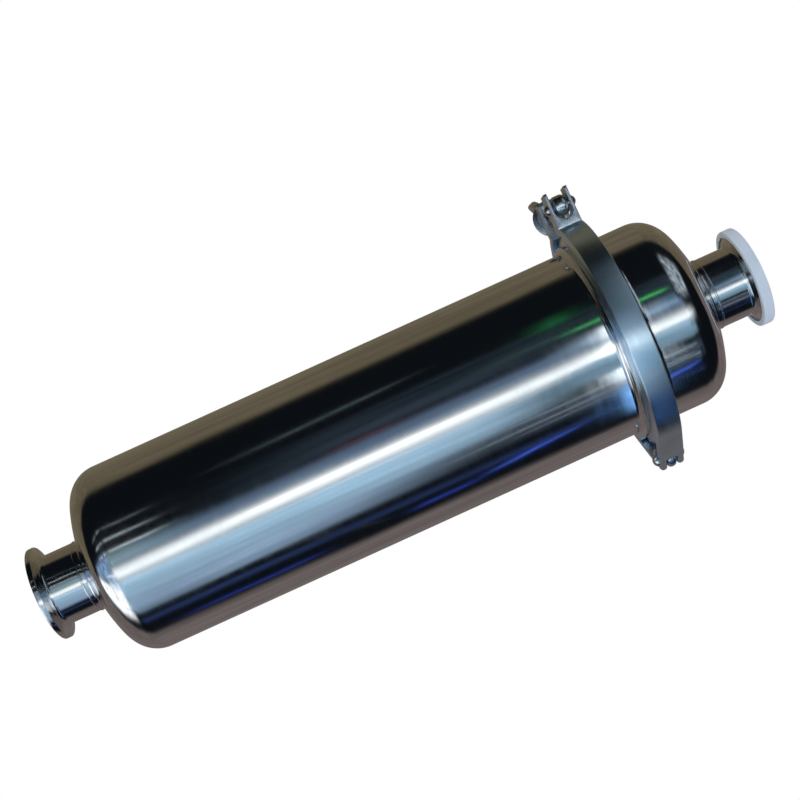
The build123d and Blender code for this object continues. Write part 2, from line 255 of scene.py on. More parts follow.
def polishing_lines_group():
    """Hair-fine lines left by a wheel, close together across their own direction."""
    tree, enter, leave = new_group(
        "Polishing Lines",
        [("Object Place", VECTOR, None), ("Across", FLOAT, 900.0)],
        [("Lines", FLOAT), ("Height", FLOAT)])
    place, across = enter.outputs[:2]
    fine = stretched_noise(tree, (-700, 120), place, (0.02, 0.02, 1.0), across, 2.0, 0.65)
    wider = maths(tree, "MULTIPLY", (-700, -340), across, 0.22)
    coarse = stretched_noise(tree, (-700, -160), place, (0.03, 0.03, 1.0), wider, 2.0)
    both = maths(tree, "MULTIPLY", (-200, 0), fine, coarse)
    lines = spread(tree, (0, 80), both, 0.12, 0.42, 0.0, 1.0)
    feed(tree, leave, {0: lines, 1: both})
    return tree


def handling_haze_group():
    """Faint cloudy smears where hands and cloths have touched, as a mask."""
    tree, enter, leave = new_group(
        "Handling Haze",
        [("Object Place", VECTOR, None), ("Scale", FLOAT, 22.0), ("Amount", FLOAT, 0.5)],
        [("Mask", FLOAT)])
    place, scale, amount = enter.outputs[:3]
    cloud = stretched_noise(tree, (-600, 100), place, (1.0, 1.0, 0.55), scale, 5.0, 0.6)
    soft = spread(tree, (-200, 100), cloud, 0.45, 0.72, 0.0, 1.0, True)
    feed(tree, leave, {0: maths(tree, "MULTIPLY", (0, 60), soft, amount)})
    return tree


def cast_skin_group():
    """Close grain of a tumbled casting, as a height and a mask of its low spots."""
    tree, enter, leave = new_group(
        "Cast Skin",
        [("Object Place", VECTOR, None), ("Scale", FLOAT, 900.0)],
        [("Height", FLOAT), ("Mask", FLOAT)])
    place, scale = enter.outputs[:2]
    grain = stretched_noise(tree, (-600, 100), place, (1.0, 1.0, 1.0), scale, 4.0, 0.6)
    feed(tree, leave, {0: grain, 1: spread(tree, (0, -80), grain, 0.52, 0.66, 0.0, 1.0)})
    return tree


GROUPS = {}


def group(name):
    """A shared effect by its name, made when it is first asked for."""
    makers = {"Sheet Waves": sheet_waves_group, "Polishing Lines": polishing_lines_group,
              "Handling Haze": handling_haze_group, "Cast Skin": cast_skin_group}
    if name not in GROUPS:
        GROUPS[name] = makers[name]()
    return GROUPS[name]


def use_group(tree, name, place, vector, **values):
    """Put a shared effect into a material, fed with object coordinates and plain values."""
    return add_node(tree, "ShaderNodeGroup", place, {"Object Place": vector, **values},
                    node_tree=group(name))


# Finishes

def bare_material(name):
    """Material whose tree holds nothing but its output."""
    material = bpy.data.materials.new(name)
    material.use_nodes = True
    tree = material.node_tree
    tree.nodes.clear()
    return material, tree, add_node(tree, "ShaderNodeOutputMaterial", (900, 0))


def opaque(colour, share=1.0):
    """A colour dimmed to a share of itself, with full alpha."""
    return (*(share * part for part in colour), 1.0)


def blank_finish(name):
    """Material with a Principled shader, and its object coordinates."""
    material, tree, output = bare_material(name)
    shader = add_node(tree, "ShaderNodeBsdfPrincipled", (600, 0))
    feed(tree, output, {"Surface": shader.outputs[0]})
    place = add_node(tree, "ShaderNodeTexCoord", (-900, 0)).outputs["Object"]
    return material, tree, shader, place


def stretch_reflections(tree, shader, amount, rotation):
    """Smear reflections as brushing does, from a tangent that runs round the pipe."""
    tangent = add_node(tree, "ShaderNodeTangent", (380, -520), direction_type="RADIAL", axis="Z")
    feed(tree, shader, {"Anisotropic": amount, "Anisotropic Rotation": rotation,
                        "Tangent": tangent.outputs[0]})


def set_bump(tree, shader, height, strength, distance):
    """Tilt the shader's normals by a height."""
    bump = add_node(tree, "ShaderNodeBump", (380, -300),
                    {"Strength": strength, "Distance": distance, "Height": height})
    feed(tree, shader, {"Normal": bump.outputs[0]})


def polished_finish(settings):
    """Mirror-polished stainless sheet: slow waves, faint lines and a little haze."""
    material, tree, shader, place = blank_finish("polished_stainless")
    waves = use_group(tree, "Sheet Waves", (-500, -300), place, Scale=16.0, Depth=1.0)
    lines = use_group(tree, "Polishing Lines", (-500, 0), place, Across=1400.0)
    haze = use_group(tree, "Handling Haze", (-500, 260), place, Scale=26.0, Amount=0.6)
    tone = mix_colour(tree, (-100, 300), haze.outputs[0], opaque(settings.polished_colour),
                      opaque(settings.polished_colour, 0.88))
    hazed = maths(tree, "MULTIPLY_ADD", (-100, 80), haze.outputs[0], 0.05,
                  settings.polished_roughness)
    rough = maths(tree, "MULTIPLY_ADD", (80, 60), lines.outputs[0], 0.035, hazed)
    feed(tree, shader, {"Base Color": tone, "Roughness": rough, "Metallic": 1.0})
    stretch_reflections(tree, shader, 0.55, 0.0)
    fine = maths(tree, "MULTIPLY", (-100, -120), lines.outputs[1], 0.012)
    height = maths(tree, "ADD", (80, -200), waves.outputs[0], fine)
    split = add_node(tree, "ShaderNodeSeparateXYZ", (-700, -560), {0: place})
    foot = spread(tree, (-500, -520), split.outputs[2], 0.055, 0.085, 1.0, 0.0, True)
    head = spread(tree, (-500, -680), split.outputs[2], 0.255, 0.305, 0.0, 1.0, True)
    ends = maths(tree, "MAXIMUM", (-300, -600), foot, head)
    dents = stretched_noise(tree, (-500, -840), place, (1.0, 1.0, 0.8), 75.0, 1.0)
    shallow = maths(tree, "MULTIPLY", (-200, -760), dents, 0.16)
    weld_pull = maths(tree, "MULTIPLY", (-100, -640), shallow, ends)
    set_bump(tree, shader, maths(tree, "ADD", (200, -300), height, weld_pull), 0.55, 0.0006)
    return material


def brushed_finish(name, colour, roughness, across, depth, stretch=0.0):
    """Brushed or tumbled stainless casting: lines, cast skin and darker low spots.

    across is how close the lines lie, depth their bump and stretch the smear along the pipe.
    """
    material, tree, shader, place = blank_finish(name)
    lines = use_group(tree, "Polishing Lines", (-500, 0), place, Across=across)
    skin = use_group(tree, "Cast Skin", (-500, -260), place, Scale=1100.0)
    haze = use_group(tree, "Handling Haze", (-500, 260), place, Scale=60.0, Amount=0.5)
    low = maths(tree, "MAXIMUM", (-300, 300), haze.outputs[0],
                maths(tree, "MULTIPLY", (-300, 160), skin.outputs[1], 0.35))
    tone = mix_colour(tree, (-100, 300), low, opaque(colour), opaque(colour, 0.74))
    rough = maths(tree, "MULTIPLY_ADD", (80, 60), lines.outputs[0], 0.12, roughness)
    feed(tree, shader, {"Base Color": tone, "Roughness": rough, "Metallic": 1.0})
    stretch_reflections(tree, shader, stretch, 0.25)
    height = maths(tree, "MULTIPLY_ADD", (80, -200), skin.outputs[0], 0.6, lines.outputs[1])
    set_bump(tree, shader, height, 0.35, depth)
    return material


def woven_finish(settings):
    """Fine woven wire: over-and-under threads round and along the sleeve, with painted shade that turns the
    colour near black where the weave sinks lowest.
    """
    material, tree, shader, place = blank_finish("woven_stainless")
    split = add_node(tree, "ShaderNodeSeparateXYZ", (-700, 0), {0: place})
    turn = maths(tree, "ARCTAN2", (-520, 120), split.outputs[1], split.outputs[0])
    round_wave = maths(tree, "SINE", (-200, 120),
                       maths(tree, "MULTIPLY", (-360, 120), turn, 300.0))
    tall_wave = maths(tree, "SINE", (-200, -60),
                      maths(tree, "MULTIPLY", (-360, -60), split.outputs[2], 7850.0))
    crossing = maths(tree, "MULTIPLY", (0, 40), round_wave, tall_wave)
    weave = spread(tree, (160, 40), crossing, -1.0, 1.0, 0.0, 1.0)
    # Painted shade: near black where the weave, which is also the bump's height, is lowest
    tone = mix_colour(tree, (340, 220), weave, (0.13, 0.13, 0.135, 1.0),
                      opaque(settings.core_colour))
    rough = spread(tree, (340, 0), weave, 0.0, 1.0, 0.55, 0.32)
    feed(tree, shader, {"Base Color": tone, "Roughness": rough, "Metallic": 1.0})
    set_bump(tree, shader, weave, 0.6, 0.0002)
    return material


def silicone_finish(name, colour):
    """Moulded silicone: soft satin skin with a fine mould grain and faint dust."""
    material, tree, shader, place = blank_finish(name)
    skin = use_group(tree, "Cast Skin", (-500, -200), place, Scale=1600.0)
    haze = use_group(tree, "Handling Haze", (-500, 200), place, Scale=70.0, Amount=0.5)
    tone = mix_colour(tree, (-100, 200), haze.outputs[0], opaque(colour), opaque(colour, 0.86))
    rough = spread(tree, (100, 0), skin.outputs[0], 0.3, 0.7, 0.36, 0.52)
    feed(tree, shader, {"Base Color": tone, "Roughness": rough, "Subsurface Weight": 0.15,
                        "Subsurface Radius": (0.002, 0.002, 0.002)})
    set_bump(tree, shader, skin.outputs[0], 0.15, 0.0001)
    return material


def finish_nodes(material, *names):
    """Give CAD nodes a finish by filling their objects' material slots."""
    for name in names:
        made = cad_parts[name]
        made.data.materials.clear()
        made.data.materials.append(material)


# Surfaces

def grid_quads(count_u, count_v, wrap_u, wrap_v):
    """Quads between neighbouring points of a grid; either way round may be closed."""
    u = np.arange(count_u if wrap_u else count_u - 1)
    v = np.arange(count_v if wrap_v else count_v - 1)
    uu, vv = np.meshgrid(u, v, indexing="ij")
    nu, nv = (uu + 1) % count_u, (vv + 1) % count_v
    return np.stack([uu * count_v + vv, nu * count_v + vv, nu * count_v + nv,
                     uu * count_v + nv], axis=-1).reshape(-1, 4)


def placed(name, data):
    """New object for some data, linked to the scene."""
    made = bpy.data.objects.new(name, data)
    bpy.context.scene.collection.objects.link(made)
    return made


def grid_mesh(name, points, wrap_v=False, uv=None):
    """Open or closed sheet of quads from an array of points [u, v, 3]."""
    quads = grid_quads(*points.shape[:2], False, wrap_v)
    mesh = bpy.data.meshes.new(name)
    mesh.from_pydata(points.reshape(-1, 3), [], quads)
    if uv is not None:
        layer = mesh.uv_layers.new(name="UVMap")
        corners = uv.reshape(-1, 2)[quads.reshape(-1)]
        layer.data.foreach_set("uv", corners.astype(np.float32).ravel())
    mesh.shade_smooth()
    return placed(name, mesh)


def joined(*parts):
    """Points whose coordinates are the parts, arrays or single numbers."""
    return np.stack(np.broadcast_arrays(*parts), axis=-1)


def arc(centre, radius, start, end, count):
    """Points of a circular arc in a plane, between two angles in degrees."""
    turn = np.radians(np.linspace(start, end, count))
    return joined(centre[0] + radius * np.cos(turn), centre[1] + radius * np.sin(turn))


def rounded_box(width, depth, corner, count=CORNER_STEPS):
    """Closed outlines of rectangles from the origin, their corners quarter rounds.

    The width and the depth may be numbers or one for each place.
    """
    right = np.repeat([0, 1, 1, 0], count)
    top = np.repeat([0, 0, 1, 1], count)
    turn = np.radians(np.add.outer([180, 270, 0, 90], np.linspace(0, 90, count)).ravel())
    width, depth = np.asarray(width)[..., None], np.asarray(depth)[..., None]
    x = corner * (1 + np.cos(turn)) + right * (width - 2 * corner)
    y = corner * (1 + np.sin(turn)) + top * (depth - 2 * corner)
    return joined(x, y)


def turned(profile, centre=(0.0, 0.0), steps=160):
    """Profile of (radius, z) points revolved about an upright axis.

    A point is (centre x + r cos a, centre y + r sin a, z).
    """
    turn = np.linspace(0.0, 2 * math.pi, steps, endpoint=False)[:, None]
    radius, height = profile[None, :, 0], profile[None, :, 1]
    return joined(centre[0] + radius * np.cos(turn), centre[1] + radius * np.sin(turn), height)


def carried(profile, places, outward):
    """Profile of (depth, z) points carried along a level path.

    A point is the path's place less its depth times the outward direction, raised by z.
    The profile may be one for the whole path or one for each place.
    """
    depth, rise = profile[..., 0], profile[..., 1]
    x = places[:, 0, None] - depth * outward[:, 0, None]
    y = places[:, 1, None] - depth * outward[:, 1, None]
    return joined(x, y, CLAMP_Z + rise)


def closed_ends(grid):
    """The same grid with its first and last rows drawn in to their middles."""
    first = np.broadcast_to(grid[:1].mean(axis=1, keepdims=True), grid[:1].shape)
    last = np.broadcast_to(grid[-1:].mean(axis=1, keepdims=True), grid[-1:].shape)
    return np.concatenate([first, grid, last])


def steel_piece(name, shells, material, body, slot, *nodes):
    """One piece from closed surfaces, given as (grid, wrap u, wrap v).

    Points that meet are merged, which closes seams and poles, faces are turned outwards,
    and edges sharper than CREASE_DEG stay sharp.
    """
    points, quads, start = [], [], 0
    for grid, wrap_u, wrap_v in shells:
        points.append(grid.reshape(-1, 3))
        quads.append(start + grid_quads(*grid.shape[:2], wrap_u, wrap_v))
        start += points[-1].shape[0]
    mesh = bpy.data.meshes.new(name)
    mesh.from_pydata(np.concatenate(points), [], np.concatenate(quads))
    work = bmesh.new()
    work.from_mesh(mesh)
    bmesh.ops.remove_doubles(work, verts=work.verts, dist=MERGE_DISTANCE)
    bmesh.ops.recalc_face_normals(work, faces=work.faces)
    work.to_mesh(mesh)
    work.free()
    mesh.shade_smooth()
    mesh.set_sharp_from_angle(angle=math.radians(CREASE_DEG))
    made = placed(name, mesh)
    made.data.materials.append(material)
    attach(made, body)
    if nodes:
        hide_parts(*nodes)
    return made


def dished_profile(skirt_z):
    """Closed outline of a pressed end, collar to skirt: (radius, z) from the port's face.

    The crown is an arc about the pipe's axis, the knuckle an arc that meets it at a
    tangent and ends upright at the tube, and the collar a straight neck with a fillet.
    The inner side is the same outline drawn in by the wall.
    """
    def side(wall, neck, fillet):
        crown, knuckle = CROWN_R - wall, KNUCKLE_R - wall
        flat = TUBE_R - KNUCKLE_R
        rise = math.sqrt((CROWN_R - KNUCKLE_R) ** 2 - flat ** 2)
        centre = END_DEPTH + rise
        meet = math.degrees(math.atan2(-rise, flat))
        root_r = neck + fillet
        reach = math.sqrt((crown + fillet) ** 2 - root_r ** 2)
        lean = math.degrees(math.atan2(reach, root_r))
        bend = arc((root_r, centre - reach), fillet, 180, 180 - lean, 7)
        crest = arc((0.0, centre), crown, -lean, meet, 60)
        turn = arc((flat, END_DEPTH), knuckle, meet, 0, 24)
        return np.concatenate([[(neck, NECK_Z)], bend, crest[1:], turn[1:]])
    outer = side(0.0, PORT_R, COLLAR_FILLET)
    inner = side(WALL, PORT_R - PORT_WALL, COLLAR_FILLET + PORT_WALL)
    skirt = [(TUBE_R, skirt_z), (TUBE_R - WALL, skirt_z)]
    return np.concatenate([outer, skirt, inner[::-1]])


def ferrule_profile():
    """Closed outline of a port ferrule: (radius, z) from its face.

    The back of the flange falls at TAPER_DEG to the neck, with a fillet at its foot, and
    a round weld bead stands out of the neck's end.
    """
    edge_r, half = PORT_FLANGE_R - RIM_ROUND, math.radians(90 - TAPER_DEG) / 2
    slope = RIM_HEIGHT + (PORT_FLANGE_R - PORT_R) * TAPER
    foot_z = slope + PORT_FILLET * math.tan(half)
    groove = arc((PORT_GROOVE_R, 0.0), PORT_BEAD_R, 180, 0, 15)
    front = arc((edge_r, RIM_ROUND), RIM_ROUND, 270, 360, 4)
    back = arc((edge_r, RIM_HEIGHT - RIM_ROUND * math.tan(half)), RIM_ROUND, 0, 90 - TAPER_DEG, 4)
    foot = arc((PORT_R + PORT_FILLET, foot_z), PORT_FILLET, 270 - TAPER_DEG, 180, 10)
    bury = 0.5 * WELD_RISE
    open_deg = math.degrees(math.acos(bury / (bury + WELD_RISE)))
    weld = arc((PORT_R - bury, NECK_Z - WELD_SINK), bury + WELD_RISE, -open_deg, open_deg, 9)
    bore_r = PORT_R - PORT_WALL
    return np.concatenate([[(bore_r, 0.0)], groove, front, back, foot, weld, [(PORT_R, NECK_Z)],
                           [(bore_r, NECK_Z)]])


def band_profile():
    """Closed outline of the clamp's groove: (depth from the outside, z from the middle)."""
    side = HALF_WIDTH - BAND_EDGE
    outside = np.concatenate([arc((BAND_EDGE, -side), BAND_EDGE, 270, 180, 5),
                              arc((BAND_EDGE, side), BAND_EDGE, 180, 90, 5)])
    lip = BAND_R - LIP_R
    deep_half = RIM_HALF - (GROOVE_R - FLANGE_R) * TAPER
    upper = [(lip - LIP_SLOPE, HALF_WIDTH), (lip - LIP_NOSE, HALF_WIDTH - LIP_NOSE),
             (lip, LIP_HALF), (BAND_WALL, deep_half)]
    lower = [(depth, -z) for depth, z in reversed(upper)]
    return np.concatenate([outside, upper, lower])


def band_path(side, fork_y, leg_end):
    """Places, outward directions and sweep angles of a band half, from its fork to its leg.

    The band is an arc of BAND_R. It leaves the arc at the tangent whose line also touches
    the knuckle about the hinge, and runs straight to leg_end before the touching point.
    """
    angle = np.linspace(math.pi - math.asin(fork_y / BAND_R), HINGE_LEAN, 120)
    cuts = math.pi - math.asin(LIP_END_BOLT / BAND_R)
    angle = np.sort(np.append(angle, (cuts, cuts + LIP_STEP)))[::-1]
    outward = joined(np.cos(angle), side * np.sin(angle))
    places = BAND_R * outward
    along = np.array([math.sin(HINGE_LEAN), -side * math.cos(HINGE_LEAN)])
    step = np.linspace(0.0, LEG_LENGTH - leg_end, 12)[1:, None]
    leg = places[-1] + step * along
    has_lips = np.concatenate([angle <= cuts, np.zeros(len(leg), bool)])
    has_lips[len(angle) - 1] = False
    return (np.concatenate([places, leg]),
            np.concatenate([outward, np.repeat(outward[-1:], len(leg), axis=0)]), has_lips)


def band_shell(side, fork_y, leg_end):
    """Band half with its lips, which stop short of the fork and of the straight leg."""
    places, outward, has_lips = band_path(side, fork_y, leg_end)
    whole = band_profile()
    plain = whole.copy()
    plain[:, 0] = np.minimum(plain[:, 0], BAND_WALL)
    profile = np.where(has_lips[:, None, None], whole, plain)
    return closed_ends(carried(profile, places, outward)), False, True


def lip_tail(side, level, lip_end):
    """One lip of a half going on round the flange inside the straight leg.

    Its outside keeps to the groove's radius or to the plane x = LEG_X, whichever is nearer.
    """
    angle = np.linspace(HINGE_LEAN + 0.01, math.asin(lip_end / LIP_R), 24)
    outer = np.minimum(GROOVE_R, LEG_X / np.cos(angle))
    radius = joined(LIP_R, LIP_R + LIP_NOSE, np.minimum(LIP_R + LIP_SLOPE, outer - 0.0001),
                    outer, outer)
    rise = joined(LIP_HALF, HALF_WIDTH - LIP_NOSE, HALF_WIDTH, HALF_WIDTH,
                  RIM_HALF + (FLANGE_R - outer) * TAPER)
    outward = joined(np.cos(angle), side * np.sin(angle))
    profile = joined(BAND_R - radius, level * rise)
    return closed_ends(carried(profile, BAND_R * outward, outward)), False, True


def knuckle(side, low, high, start):
    """Strap of the leg's end that goes on round the hinge pin, between two levels."""
    touch = joined(math.cos(HINGE_LEAN), side * math.sin(HINGE_LEAN))
    along = np.array([math.sin(HINGE_LEAN), -side * math.cos(HINGE_LEAN)])
    centre = np.array([HINGE_X, 0.0])
    step = np.linspace(-start, 0.0, 6)[:-1, None]
    straight = centre + KNUCKLE_OUT * touch + step * along
    turn = HINGE_LEAN - np.linspace(0.0, math.radians(KNUCKLE_WRAP_DEG), 40)
    round_out = joined(np.cos(turn), side * np.sin(turn))
    places = np.concatenate([straight, centre + KNUCKLE_OUT * round_out])
    outward = np.concatenate([np.repeat(touch[None], len(straight), axis=0), round_out])
    profile = rounded_box(BAND_WALL, high - low, 0.42 * (high - low), 7) + (0.0, low)
    return closed_ends(carried(profile, places, outward)), False, True


def fork_shell(low_y, top_of):
    """Lug with its round-bottomed slot, a rounded section carried round the slot's U.

    top_of gives the upper level at each x. Each place on the U has a point on the slot
    and one on the outside, on one ray from the middle of the slot's round. The ears end
    in quarter rounds across the clamp.
    """
    radius = 0.5 * SLOT_WIDTH
    middle_x = PIN_X + SLOT_DROP - radius
    tip_x = PIN_X - FORK_TIP
    straight = np.linspace(tip_x, middle_x, 26)[:-1]
    ray = np.radians(np.linspace(90, -90, 41))
    reach = np.minimum((FORK_FOOT_X - middle_x) / np.maximum(np.cos(ray), 1e-6),
                       FORK_SIDE / np.maximum(np.abs(np.sin(ray)), 1e-6))

    def way_round(half, distance):
        bend = joined(middle_x + distance * np.cos(ray), distance * np.sin(ray))
        upper = joined(straight, half)
        return np.concatenate([upper, bend, upper[::-1] * (1, -1)])

    inner, outer = way_round(radius, radius), way_round(FORK_SIDE, reach)
    thick = np.linalg.norm(outer - inner, axis=1)
    share = rounded_box(thick, 1.0, FORK_EDGE)[..., 0] / thick[:, None]
    xz = inner[:, None] + share[..., None] * (outer - inner)[:, None]
    depth = top_of(xz[..., 0]) - low_y
    rounds = rounded_box(1.0, 2 * FORK_EDGE, FORK_EDGE)[:, 1]
    level = rounds + np.repeat([0, 0, 1, 1], CORNER_STEPS) * (depth - 2 * FORK_EDGE)
    into = np.clip(FORK_CORNER - np.minimum(level, depth - level), 0.0, FORK_CORNER)
    nearest = tip_x + FORK_CORNER - np.sqrt(FORK_CORNER ** 2 - into ** 2)
    grid = joined(np.maximum(xz[..., 0], nearest), low_y + level, CLAMP_Z + xz[..., 1])
    ends = grid[[0, -1]].copy()
    ends[..., 2] = CLAMP_Z + 0.5 * (radius + FORK_SIDE) * np.array([[1.0], [-1.0]])
    return np.concatenate([ends[:1], grid, ends[1:]]), False, True


def bearing_face(x):
    """Level of the rear fork's face, a cylinder about the bolt's pin that the nut swings off."""
    return PIN_Y + np.sqrt(BOLT_REACH ** 2 - (x - PIN_X) ** 2)


def bolt_eye():
    """Eye of the swing bolt: a disc about the pin with quarter-round edges."""
    half, flat = 0.5 * SLOT_WIDTH - EYE_PLAY, 0.5 * SLOT_WIDTH - EYE_PLAY - EYE_ROUND
    rim = EYE_R - EYE_ROUND
    profile = np.concatenate([[(0.0, -half)], arc((rim, -flat), EYE_ROUND, 270, 360, 10),
                              arc((rim, flat), EYE_ROUND, 0, 90, 10), [(0.0, half)]])
    return turned(profile + (0.0, CLAMP_Z), (PIN_X, PIN_Y), 64), True, False


def on_bolt(local):
    """Carry points drawn about +Z onto the bolt's axis, outside the washer."""
    return joined(PIN_X + local[..., 0], NUT_Y + local[..., 2], CLAMP_Z - local[..., 1])


def bezier(corners, t):
    """Cubic curve through its first and last corner, at each t."""
    weights = joined((1 - t) ** 3, 3 * t * (1 - t) ** 2, 3 * t ** 2 * (1 - t), t ** 3)
    return weights @ np.array(corners)


def nut_hub():
    """Closed outline of the nut's body: (radius, height) with a flanged base and a waist."""
    waist = bezier([(NUT_BASE_R, NUT_BASE), (NUT_WAIST_R, 0.2 * NUT_HEIGHT),
                    (NUT_WAIST_R, 0.5 * NUT_HEIGHT), (NUT_TOP_R, NUT_HEIGHT - NUT_CROWN)],
                   np.linspace(0.0, 1.0, 16))
    edge = 0.3 * NUT_BASE
    base = np.concatenate([arc((NUT_BASE_R - edge, edge), edge, 270, 360, 4),
                           arc((NUT_BASE_R - edge, NUT_BASE - edge), edge, 0, 45, 3)])
    crown = arc((NUT_TOP_R - NUT_CROWN, NUT_HEIGHT - NUT_CROWN), NUT_CROWN, 0, 90, 6)
    return np.concatenate([[(NUT_BORE_R, 0.0)], base, waist[1:-1], crown, [(NUT_BORE_R, NUT_HEIGHT)]])


def nut_wing(turn_deg):
    """One wing: a rounded section between a lower and an inner curve, with a round crest.

    The section is a superellipse of the fourth degree. Its middle runs half way between
    the curves, and over the crest its height falls as a cosine while it moves on as a sine.
    """
    t = np.linspace(0.0, 1.0, 36)
    lower = bezier([(0.30 * WING_REACH, 0.06 * WING_RISE), (0.85 * WING_REACH, 0.12 * WING_RISE),
                    (1.02 * WING_REACH, 0.50 * WING_RISE), (0.99 * WING_REACH, 0.80 * WING_RISE)], t)
    inner = bezier([(0.30 * WING_REACH, 0.45 * WING_RISE), (0.42 * WING_REACH, 0.50 * WING_RISE),
                    (0.54 * WING_REACH, 0.68 * WING_RISE), (0.62 * WING_REACH, 0.84 * WING_RISE)], t)
    middle, half = 0.5 * (lower + inner), 0.5 * (lower - inner)
    crest = np.radians(np.linspace(0.0, 90.0, 14))[1:, None]
    ahead = np.array([-half[-1, 1], half[-1, 0]])
    middle = np.concatenate([middle, middle[-1] + 0.75 * np.sin(crest) * ahead])
    half = np.concatenate([half, np.cos(crest) * half[-1]])
    thick = 0.5 * WING_THICK * np.concatenate([np.ones(len(t)), np.cos(crest[:, 0]) ** 0.4])
    across = np.linspace(0.0, 2 * math.pi, 32, endpoint=False)
    wide = np.sign(np.cos(across)) * np.abs(np.cos(across)) ** 0.5
    deep = np.sign(np.sin(across)) * np.abs(np.sin(across)) ** 0.5
    flat = middle[:, None] + wide[None, :, None] * half[:, None]
    side = thick[:, None] * deep[None, :]
    a = math.radians(turn_deg)
    local = joined(flat[..., 0] * math.cos(a) - side * math.sin(a),
                   flat[..., 0] * math.sin(a) + side * math.cos(a), flat[..., 1])
    return closed_ends(on_bolt(local)), False, True


def screw_thread(settings):
    """Thread of the swing bolt.

    The radius at a distance l along the bolt and an angle a is the root radius plus the
    thread's depth times a trapezoid of the phase l / pitch - a / (2 pi), and both ends
    fade to the root radius and close on the axis.
    """
    turns_round = 48
    along = np.arange(THREAD_START, THREAD_LAST, PITCH / 12)
    angle = np.linspace(0.0, 2 * math.pi, turns_round, endpoint=False)
    l, a = np.meshgrid(along, angle, indexing="ij")
    phase = np.mod(l / PITCH - a / (2 * math.pi), 1.0)
    ridge = np.clip(1.45 - 3.4 * np.abs(phase - 0.5), 0.0, 1.0)
    rises = np.clip((l - THREAD_START) / THREAD_RUN_IN, 0.0, 1.0)
    falls = np.clip((THREAD_STOP - l) / THREAD_RUN_OUT, 0.0, 1.0)
    radius = settings.thread_root + settings.thread_depth * ridge * rises * falls
    points = joined(PIN_X + radius * np.sin(a), PIN_Y + l, CLAMP_Z + radius * np.cos(a))
    first = np.broadcast_to([PIN_X, PIN_Y + along[0], CLAMP_Z], (1, turns_round, 3))
    last = np.broadcast_to([PIN_X, PIN_Y + along[-1], CLAMP_Z], (1, turns_round, 3))
    return grid_mesh("bolt_thread", np.concatenate([first, points, last]), wrap_v=True)


def card_patch(name, radius, azimuth, half_width, low, high, lean):
    """Card bent to a sphere round the strainer's middle.

    A point at azimuth p and elevation e is the radius times
    (sin p cos e, -cos p cos e, sin e); p = 0 is the camera's side and p = 90 the hinge's.
    The azimuth grows by the lean for each degree above the card's middle.
    """
    p = np.radians(np.linspace(azimuth - half_width, azimuth + half_width, CARD_GRID))
    e = np.radians(np.linspace(low, high, CARD_GRID))
    pp, ee = np.meshgrid(p, e, indexing="ij")
    pp = pp + lean * (ee - math.radians(0.5 * (low + high)))
    points = radius * joined(np.sin(pp) * np.cos(ee), -np.cos(pp) * np.cos(ee), np.sin(ee))
    points[..., 2] += MIDDLE_Z
    share = np.linspace(0, 1, CARD_GRID)
    made = grid_mesh(name, points, uv=joined(*np.meshgrid(share, share, indexing="ij")))
    made.visible_camera = False
    made.visible_shadow = False
    return made


def card_light(name, colour, strength, edge, ends, tilt, ripple):
    """Glow that fades at a card's edges; tilt moves its brightness towards one edge."""
    material, tree, output = bare_material(name)
    places = add_node(tree, "ShaderNodeTexCoord", (-1100, 0))
    split = add_node(tree, "ShaderNodeSeparateXYZ", (-900, 0), {0: places.outputs["UV"]})
    place = places.outputs["Object"]
    grain = stretched_noise(tree, (-1100, 420), place, (1.0, 1.0, 0.22), 9.0, 3.0, 0.6)
    sway = stretched_noise(tree, (-1100, 260), place, (0.6, 0.6, 1.0), 5.0, 2.0)
    u = maths(tree, "ADD", (-620, 120), split.outputs[0],
              maths(tree, "MULTIPLY_ADD", (-760, 260), sway, 0.30 * ripple, -0.15 * ripple))
    v = split.outputs[1]
    left = spread(tree, (-400, 200), u, 0.0, edge[0], 0.0, 1.0, True)
    right = spread(tree, (-400, 60), u, 1.0 - edge[1], 1.0, 1.0, 0.0, True)
    below = spread(tree, (-400, -80), v, 0.0, ends[0], 0.0, 1.0, True)
    above = spread(tree, (-400, -220), v, 1.0 - ends[1], 1.0, 1.0, 0.0, True)
    sides = maths(tree, "MULTIPLY", (-200, 120), left, right)
    caps = maths(tree, "MULTIPLY", (-200, -120), below, above)
    mask = maths(tree, "MULTIPLY", (0, 0), sides, caps)
    slope = maths(tree, "MULTIPLY_ADD", (0, 200), u, tilt, 1.0 - 0.5 * tilt)
    slope = maths(tree, "MULTIPLY", (160, 260), slope,
                  spread(tree, (160, 420), grain, 0.32, 0.68, 1.0 - ripple, 1.0 + ripple))
    bright = maths(tree, "MULTIPLY", (200, 100), slope, strength)
    glow = add_node(tree, "ShaderNodeEmission", (400, 100),
                    {"Color": opaque(colour), "Strength": bright})
    clear = add_node(tree, "ShaderNodeBsdfTransparent", (400, -60))
    blend = add_node(tree, "ShaderNodeMixShader", (640, 0),
                     {0: mask, 1: clear.outputs[0], 2: glow.outputs[0]})
    feed(tree, output, {"Surface": blend.outputs[0]})
    return material


# Fades and colours that several cards share

SOFTEST = (0.5, 0.5)
SOFT = (0.4, 0.4)
FADING = (0.3, 0.3)
SHORT = (0.2, 0.2)
PALE = (0.8, 0.93, 1.0)
PALE_BLUE = (0.75, 0.9, 1.0)
SKY = (0.70, 0.86, 1.0)
WHITE = (0.92, 0.98, 1.0)
DEEP_BLUE = (0.08, 0.16, 1.0)

